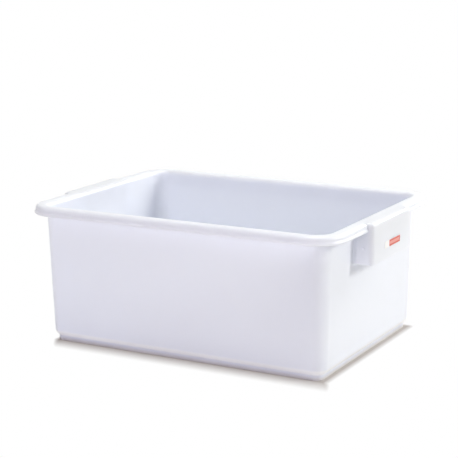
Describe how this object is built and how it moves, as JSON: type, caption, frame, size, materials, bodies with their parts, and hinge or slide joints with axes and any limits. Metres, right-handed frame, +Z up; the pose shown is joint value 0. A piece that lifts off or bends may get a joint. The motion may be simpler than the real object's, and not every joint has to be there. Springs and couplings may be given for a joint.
{
  "type": "deep tub",
  "caption": "Deep rectangular open tub with drafted walls, rounded corners, a rolled rim with a lower lip and an open-bottomed hand grip at each end, for picking and carrying.",
  "frame": {"origin": "middle of the tub's footprint, on the ground", "axes": "+X along the long side to the labelled end, +Y to the back long wall, +Z up"},
  "size_m": [0.6182, 0.44, 0.248],
  "materials": {
    "white_plastic": "satin injection-moulded white polyethylene",
    "label_vinyl": "plain printed vinyl label"
  },
  "bodies": {
    "root": {"tub_body": "white_plastic", "rim": "white_plastic", "left_handle": "white_plastic", "right_handle": "white_plastic", "end_label": "label_vinyl"}
  },
  "joints": []
}
